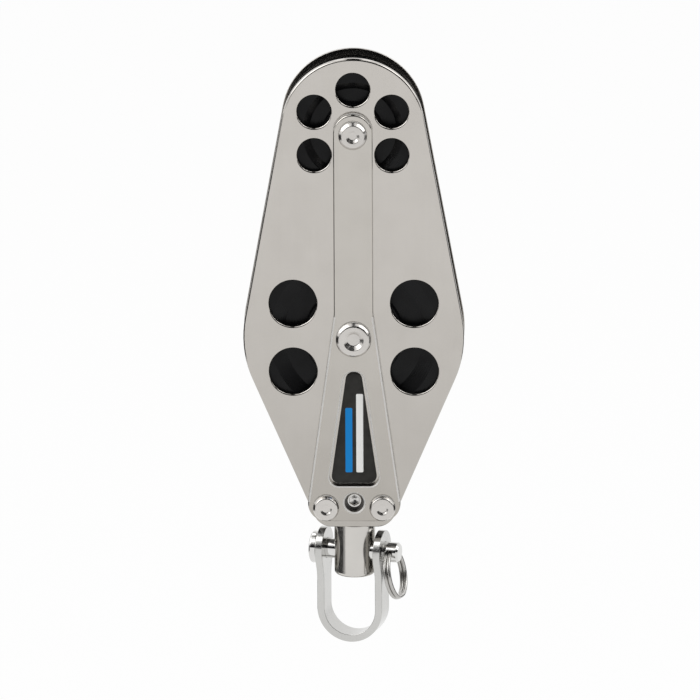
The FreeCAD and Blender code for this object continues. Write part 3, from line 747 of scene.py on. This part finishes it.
def makeRivet(name):
    shank, head, face, dimple, floor, rim, height, depth, faceEdge = rivetSizes[name]
    r = rivetFit
    place = middleOf(name)
    end = strapFace + height
    half = [
        (0, end - depth, 0),
        (floor, end - depth, r["floor"]),
        (dimple, end, r["dimple"]),
        (face, end, faceEdge),
        (head, strapFace + rim, r["head"]),
        (head, strapFace, 0),
        (shank, strapFace, 0),
    ]
    profile = half + [(radius, -along, rounding) for radius, along, rounding in reversed(half)]
    bm = makeTurned(profile)
    bm.normal_update()
    for wall in bm.faces:
        middle = wall.calc_center_median()
        if abs(wall.normal.z) < r["wallTilt"] and math.hypot(middle.x, middle.y) > head - r["wallWidth"]:
            wall.material_index = 1
    turnMesh(bm, -90, "X")
    shiftMesh(bm, x=place.x, z=place.z)
    finishes = [steels["rivetSteel"], steels["cutSteel"]]
    seatPiece(meshObject(name, bm), finishes, "block", "rivet_steel", name)


for rivetName in rivetSizes:
    makeRivet(rivetName)
print("rivets made")


screwSizes = {
    "round": 2.95,
    "face": 8.6,
    "tip": 4.7,
    "tipEdge": 0.2,
    "bevel": 0.35,
    "bevelEdge": 0.1,
    "rim": 0.5,                 # how far in the flat rim of the face reaches
    "socketCorner": 2.1,
    "socketDepth": 1.9,
    "mouth": 0.3,
    "drillDepth": 0.5,          # the cone below the socket, and what is left of the socket's width at its end
    "drillWidth": 0.25,
    "roundSteps": 60,
    "sharpAngle": 30,
}


def sinkRim(bm, edges, depth, narrow=1.0):
    # carries a rim of edges down by a depth, narrowed about the Z axis, and gives the new rim
    new = bmesh.ops.extrude_edge_only(bm, edges=edges)["geom"]
    verts = onlyVerts(new)
    bmesh.ops.translate(bm, verts=verts, vec=(0, 0, -depth))
    bmesh.ops.scale(bm, verts=verts, vec=(narrow, narrow, 1))
    return [edge for edge in onlyEdges(new) if set(edge.verts) <= set(verts)]


def makeSetScrew():
    s = screwSizes
    profile = [
        (0, s["tip"], 0),
        (s["round"], s["tip"], s["tipEdge"]),
        (s["round"], s["face"] - s["bevel"], s["bevelEdge"]),
        (s["round"] - s["bevel"], s["face"], s["bevelEdge"]),
        (s["round"] - s["rim"], s["face"], 0),
    ]
    bm = makeTurned(profile, s["roundSteps"])
    mouthCorner = s["socketCorner"] + s["mouth"] / 2
    hexagon = bmesh.ops.create_circle(bm, cap_ends=False, segments=6, radius=mouthCorner,
                                      matrix=Matrix.Translation((0, 0, s["face"])))["verts"]
    rim = edgesOf(hexagon)
    fillFlat(bm, s["face"], axis=2)
    rim = sinkRim(bm, rim, s["mouth"], s["socketCorner"] / mouthCorner)
    rim = sinkRim(bm, rim, s["socketDepth"] - s["mouth"])
    rim = sinkRim(bm, rim, s["drillDepth"], s["drillWidth"])
    bmesh.ops.triangle_fill(bm, edges=rim)
    turnMesh(bm, 90, "X")
    shiftMesh(bm, z=-cheekSizes["screwDrop"])
    piece = meshObject("set_screw", bm, s["sharpAngle"])
    seatPiece(piece, [steels["screwSteel"]], "block", "screw_steel", "set_screw")


makeSetScrew()


swivelSizes = {
    "turn": -15.5,
    "aside": 0.8,
    "pinHeight": middleOf("clevis_pin").z,
}

shackleSizes = {
    "inside": 10.25,
    "thick": 2.8,
    "half": 5.1,
    "earRound": 8.35,
    "waistDrop": 12.2,
    "waistRound": 14.0,
    "depth": 33.1,
    "bore": 4.0,
    "boreEdge": 0.25,
    "edge": 0.2,
    "endCorner": 1.0,           # the flat strip before it is cut and bent: its end's corners and its length
    "endDrop": 10.0,
    "bendSteps": 24,
}


def hangMesh(bm):
    # sets a piece aside along the clevis pin and turns it with the swivel
    shiftMesh(bm, x=-swivelSizes["aside"])
    turnMesh(bm, swivelSizes["turn"], "Z")


def everythingIn(bm):
    return list(bm.verts) + list(bm.edges) + list(bm.faces)


def makeShackle():
    # one leg as a plate, cut where the bend starts, spun a quarter turn from there, and mirrored
    s = shackleSizes
    pin = swivelSizes["pinHeight"]
    bend = pin - s["depth"] + s["inside"]
    corner = s["endCorner"]
    outline = [
        (0, pin, s["earRound"]),
        (-s["half"] - s["waistRound"], pin - s["waistDrop"], -s["waistRound"]),
        (-s["half"] + corner, bend - s["endDrop"], corner),
        (s["half"] - corner, bend - s["endDrop"], corner),
        (s["half"] + s["waistRound"], pin - s["waistDrop"], -s["waistRound"]),
    ]
    bore = ([(0, pin, s["bore"])], s["boreEdge"], 0, 0)
    bm = makePlate(outline, s["edge"], [bore], s["inside"], s["inside"] + s["thick"], s["edge"])
    turnMesh(bm, 90, "Z")
    cut = bmesh.ops.bisect_plane(bm, geom=everythingIn(bm), plane_co=(0, 0, bend), plane_no=(0, 0, -1),
                                 dist=samePlace["cut"], clear_outer=True, clear_inner=False)["geom_cut"]
    spinPart(bm, onlyEdges(cut), (0, 0, bend), (0, -1, 0), math.pi / 2, s["bendSteps"])
    bmesh.ops.remove_doubles(bm, verts=bm.verts, dist=samePlace["plate"])
    bmesh.ops.mirror(bm, geom=everythingIn(bm), matrix=Matrix.Identity(4), merge_dist=samePlace["mirror"],
                     axis="X", mirror_u=False, mirror_v=False)
    hangMesh(bm)
    seatPiece(meshObject("shackle", bm), [steels["shackleSteel"]], "shackle_body", "shackle_steel", "shackle")


makeShackle()
print("set screw and shackle made")


# Pieces that keep their CAD shape get their finish in their own slots
washerPlastic = makePlastic("washerPlastic", "washers")
keptNodes = {
    "large_sheave": makePlastic("sheavePlastic", "sheaves"),
    "small_sheave": makePlastic("smallSheavePlastic", "sheaves", axleRise),
    "large_sheave_bush": steels["bushBronze"],
    "small_sheave_bush": steels["bushBronze"],
    "large_axle_sleeve": steels["sleeveSteel"],
    "small_axle_sleeve": steels["sleeveSteel"],
    "large_thrust_washer_front": washerPlastic,
    "large_thrust_washer_back": washerPlastic,
    "small_thrust_washer_front": washerPlastic,
    "small_thrust_washer_back": washerPlastic,
    # painted shade: the dark block stands in for the shade under the head
    "head_block": steels["shadeDarkBlockSteel"],
    "upper_swivel_washer": washerPlastic,
    "lower_swivel_washer": washerPlastic,
    "swivel_collar": steels["postSteel"],
    "collar_pin": steels["brightSteel"],
    "swivel_post": steels["postSteel"],
    "clevis_pin": steels["brightSteel"],
    "split_ring": steels["ringSteel"],
}
for name, material in keptNodes.items():
    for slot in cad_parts[name].material_slots:
        slot.material = material


# Camera: far off with a long lens, at the photograph's height and side
cameraPlace = {
    "target": (-1.6 * mm, 0.0, -7.55 * mm),
    "azimuth": 1.0,
    "elevation": 15.0,
    "roll": -0.25,
    "distance": 10.0,
    "viewWidth": 0.2709,
    "sensor": 36.0,
    "farClip": 60.0,
}


def makeCamera():
    place = cameraPlace
    camera = bpy.data.cameras.new("camera")
    camera.sensor_width = place["sensor"]
    camera.lens = camera.sensor_width * place["distance"] / place["viewWidth"]
    camera.clip_end = place["farClip"]
    holder = bpy.data.objects.new("camera", camera)
    turn, lift = math.radians(place["azimuth"]), math.radians(place["elevation"])
    back = Vector((math.sin(turn) * math.cos(lift), -math.cos(turn) * math.cos(lift), math.sin(lift)))
    facing = (-back).to_track_quat("-Z", "Y").to_matrix().to_4x4()
    roll = Matrix.Rotation(math.radians(place["roll"]), 4, "Z")
    stand = Matrix.Translation(Vector(place["target"]) + back * place["distance"])
    holder.matrix_world = stand @ facing @ roll
    bpy.context.scene.collection.objects.link(holder)
    bpy.context.scene.camera = holder


stageSizes = {
    "floorDrop": -0.40,
    "floorHalf": 8.0,
    "floorColour": (0.94, 0.94, 0.94, 1),
    "floorRoughness": 0.9,
    "floorMirror": 0.1,
    "floorGlow": 0.93,          # how much of the floor's white is plain white; the rest keeps the shadow
    "ambient": 0.55,            # strength of the white surroundings as light
}

# Dark cards stand round the set, so that polished edges show the dark lines that they need to look like
# metal. Each has its distance, the bearings that it spans (0 is the camera's side), its lowest and highest
# angle, and its tone. The low ones are small or grey, because a flat plate that is seen from the opposite
# quarter mirrors a whole card.
darkCards = {
    "frontCard": (2.6, -35, 35, 4, 38, "dark"),
    "leftCard": (1.3, -55, -35, 4, 18, "dark"),
    "leftSideCard": (0.85, -68, -56, -25, 2, "grey"),
    "leftRearCard": (0.85, -128, -68, -25, 2, "dark"),
    "leftBackCard": (0.85, -165, -128, -25, 2, "grey"),
    "rightCard": (2.2, 35, 72, 4, 38, "dark"),
    "rightSideCard": (2.2, 72, 95, 4, 14, "dark"),
    "rightRearCard": (0.85, 84, 128, -25, 2, "dark"),
    "rightBackCard": (0.85, 128, 136, -25, 2, "grey"),
    "rightHighCard": (2.1, 10, 52, 38, 60, "dark"),
}
# a strip that runs on overhead to the rear
gapCard = {"distance": 2.0, "half": 0.24, "low": 38, "high": 140}
cardTones = {"dark": (0.012, 0.012, 0.013, 1), "grey": (0.42, 0.42, 0.42, 1)}
cardSteps = {"up": 12, "round": 40, "overhead": 30}


def placeStage(name, bm, material):
    mesh = bpy.data.meshes.new(name)
    bm.to_mesh(mesh)
    bm.free()
    mesh.materials.append(material)
    stage = bpy.data.objects.new(name, mesh)
    bpy.context.scene.collection.objects.link(stage)
    return stage


def seenDirectly(tree):
    # 1 where the camera, metal or glass sees a surface, 0 for light on its way to a matt one
    rays = tree.nodes.new("ShaderNodeLightPath").outputs
    mirrored = mathNode(tree, "MAXIMUM", rays["Is Glossy Ray"], rays["Is Transmission Ray"])
    return mathNode(tree, "MAXIMUM", rays["Is Camera Ray"], mirrored)


def makeFloor():
    bm = bmesh.new()
    bmesh.ops.create_grid(bm, x_segments=1, y_segments=1, size=stageSizes["floorHalf"])
    shiftMesh(bm, z=stageSizes["floorDrop"])
    material, tree, shader = newMaterial("paleFloor", {
        "Base Color": stageSizes["floorColour"],
        "Roughness": stageSizes["floorRoughness"],
        "Specular IOR Level": stageSizes["floorMirror"],
    })
    glow = addNode(tree, "Emission", {"Color": (1, 1, 1, 1), "Strength": 1.0})
    mix = tree.nodes.new("ShaderNodeMixShader")
    white = mathNode(tree, "MULTIPLY", seenDirectly(tree), stageSizes["floorGlow"])
    for source, socket in zip((white, shader.outputs[0], glow.outputs[0]), mix.inputs):
        tree.links.new(source, socket)
    tree.links.new(mix.outputs[0], tree.nodes["Material Output"].inputs["Surface"])
    placeStage("floor", bm, material)


def hideCard(card):
    # seen in polished metal alone
    card.visible_camera = False
    card.visible_shadow = False
    card.visible_diffuse = False


def makeCardMaterial(tone):
    looks = {"Base Color": cardTones[tone], "Roughness": 1.0, "Specular IOR Level": 0.0}
    return newMaterial(tone + "Card", looks)[0]


def placeAtAngle(distance, degrees):
    # a place in front of the set at an angle above the level
    lift = math.radians(degrees)
    return Vector((0, -distance * math.cos(lift), distance * math.sin(lift)))


def makeDarkCards():
    middle, upward, around = (0, 0, 0), (-1, 0, 0), (0, 0, 1)
    materials = {tone: makeCardMaterial(tone) for tone in cardTones}
    for name, (distance, bearingFrom, bearingTo, low, high, tone) in darkCards.items():
        bm = bmesh.new()
        lowest = bm.verts.new(placeAtAngle(distance, low))
        spinPart(bm, [lowest], middle, upward, math.radians(high - low), cardSteps["up"])
        turnMesh(bm, bearingFrom, "Z")
        turn = math.radians(bearingTo - bearingFrom)
        spinPart(bm, list(bm.verts) + list(bm.edges), middle, around, turn, cardSteps["round"])
        hideCard(placeStage(name, bm, materials[tone]))
    bm = bmesh.new()
    low, high = gapCard["low"], gapCard["high"]
    start = placeAtAngle(gapCard["distance"], low)
    ends = [bm.verts.new(start + Vector((side * gapCard["half"], 0, 0))) for side in (-1, 1)]
    strip = ends + [bm.edges.new(ends)]
    spinPart(bm, strip, middle, upward, math.radians(high - low), cardSteps["overhead"])
    hideCard(placeStage("gapCard", bm, materials["dark"]))


def makeWorld():
    # white wherever it is seen, dimmer as the light that falls on matt surfaces
    world = bpy.data.worlds.new("studio")
    bpy.context.scene.world = world
    world.use_nodes = True
    tree = world.node_tree
    ambient = stageSizes["ambient"]
    strength = mathNode(tree, "MULTIPLY_ADD", seenDirectly(tree), 1.0 - ambient, ambient)
    fillInputs(tree, tree.nodes["Background"], {"Color": (1, 1, 1, 1), "Strength": strength})


lamps = {
    # place, size and power
    "leftLamp": ((-1.9, -0.6, 1.7), 2.2, 24.0),
    "rightLamp": ((1.9, -0.6, 1.7), 2.2, 24.0),
    "rearLamp": ((0.0, 1.6, 2.3), 1.6, 8.0),
}


def makeLamp(name, place, size, power):
    lamp = bpy.data.lights.new(name, "AREA")
    lamp.shape = "RECTANGLE"
    lamp.size = lamp.size_y = size
    lamp.energy = power
    holder = bpy.data.objects.new(name, lamp)
    holder.location = place
    holder.rotation_mode = "QUATERNION"
    holder.rotation_quaternion = Vector(place).to_track_quat("Z", "Y")
    bpy.context.scene.collection.objects.link(holder)


makeCamera()
makeFloor()
makeDarkCards()
makeWorld()
for lampName, lampLooks in lamps.items():
    makeLamp(lampName, *lampLooks)
bpy.context.scene.view_settings.view_transform = "Standard"
print("camera, floor and lamps made")
